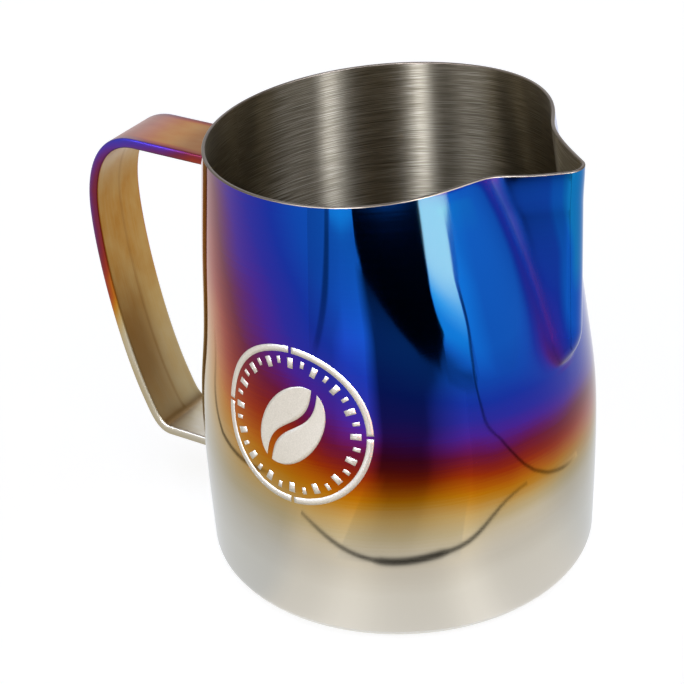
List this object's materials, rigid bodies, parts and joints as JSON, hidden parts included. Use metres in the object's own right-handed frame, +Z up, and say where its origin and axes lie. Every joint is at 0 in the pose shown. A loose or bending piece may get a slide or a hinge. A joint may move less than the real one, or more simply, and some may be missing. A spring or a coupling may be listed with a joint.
{
  "type": "milk frothing pitcher",
  "caption": "Steel milk frothing pitcher: a drawn, slightly tapering jug with a pressed V-shaped pouring spout and a welded strip handle, in a graded rainbow finish.",
  "frame": {"origin": "centre of the flat underside, where the jug stands", "axes": "+Z up along the jug's axis, +X towards the pouring spout, the handle at -X"},
  "size_m": [0.126, 0.09, 0.105],
  "materials": {
    "rainbow_steel": "polished outside with a coating that runs from blue through violet and gold to bare steel; brushed bare steel inside",
    "gold_steel": "satin gold coating that fades to pale steel at the foot, with blue and violet edges",
    "weld_steel": "blended weld metal"
  },
  "bodies": {
    "root": {"jug_body": "rainbow_steel", "handle": "gold_steel", "upper_weld": "weld_steel", "lower_weld": "weld_steel"}
  },
  "joints": []
}
